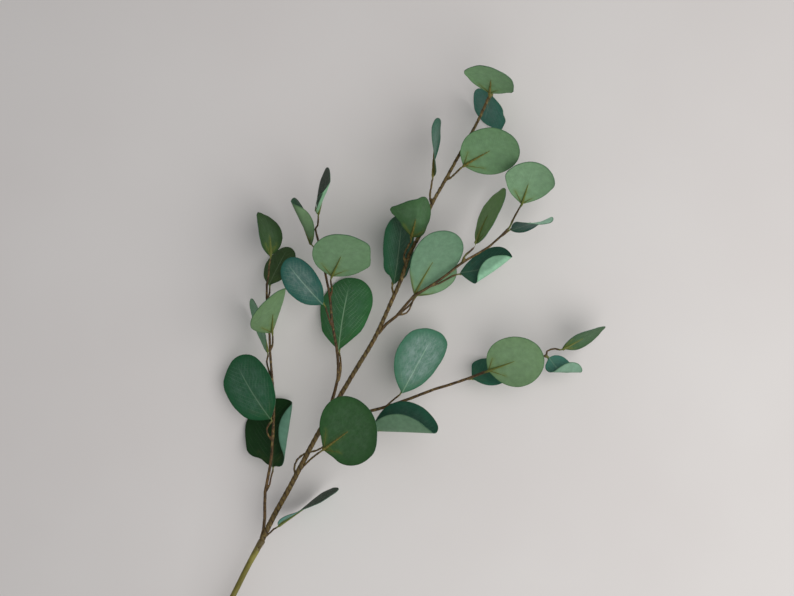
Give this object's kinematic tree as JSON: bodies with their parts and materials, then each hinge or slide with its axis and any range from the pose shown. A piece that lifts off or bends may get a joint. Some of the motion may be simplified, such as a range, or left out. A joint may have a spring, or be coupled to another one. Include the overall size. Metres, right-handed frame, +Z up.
{
  "type": "artificial eucalyptus branch",
  "caption": "Artificial silver dollar eucalyptus branch, lying down: round green fabric leaves on thin brown twigs that meet a long plain stem; foliage for a vase or a wreath.",
  "frame": {"origin": "the middle of the branch's box in X and Y, on the surface that the branch lies on", "axes": "+Y runs along the branch from its cut end to its tip, +X is to the right seen from above with the tip away, and +Z is up from the surface that it lies on"},
  "size_m": [0.306, 0.6734, 0.0868],
  "materials": {
    "blade": "matt printed woven fabric, starched; the underside is paler",
    "twig": "moulded plastic, brown turning olive along the petioles",
    "sleeve": "moulded plastic tube, olive, slightly satin",
    "wire": "plain drawn wire, cut end"
  },
  "bodies": {
    "root": {"blade_leader_1": "blade", "blade_leader_2": "blade", "blade_leader_3": "blade", "blade_leader_4": "blade", "blade_leader_5": "blade", "blade_leader_6": "blade", "blade_leader_7": "blade", "blade_leader_8": "blade", "blade_upper_1": "blade", "blade_upper_2": "blade", "blade_upper_3": "blade", "blade_upper_4": "blade", "blade_upper_5": "blade", "blade_upper_6": "blade", "blade_middle_1": "blade", "blade_middle_2": "blade", "blade_middle_3": "blade", "blade_middle_4": "blade", "blade_middle_5": "blade", "blade_left_1": "blade", "blade_left_2": "blade", "blade_left_3": "blade", "blade_left_4": "blade", "blade_left_5": "blade", "blade_left_6": "blade", "blade_right_1": "blade", "blade_right_2": "blade", "blade_right_3": "blade", "blade_right_4": "blade", "blade_right_5": "blade", "blade_low": "blade", "twig_leader": "twig", "twig_upper": "twig", "twig_middle": "twig", "twig_left": "twig", "twig_right": "twig", "petiole_low": "twig", "stem_sleeve": "sleeve", "core_wire": "wire"}
  },
  "joints": []
}
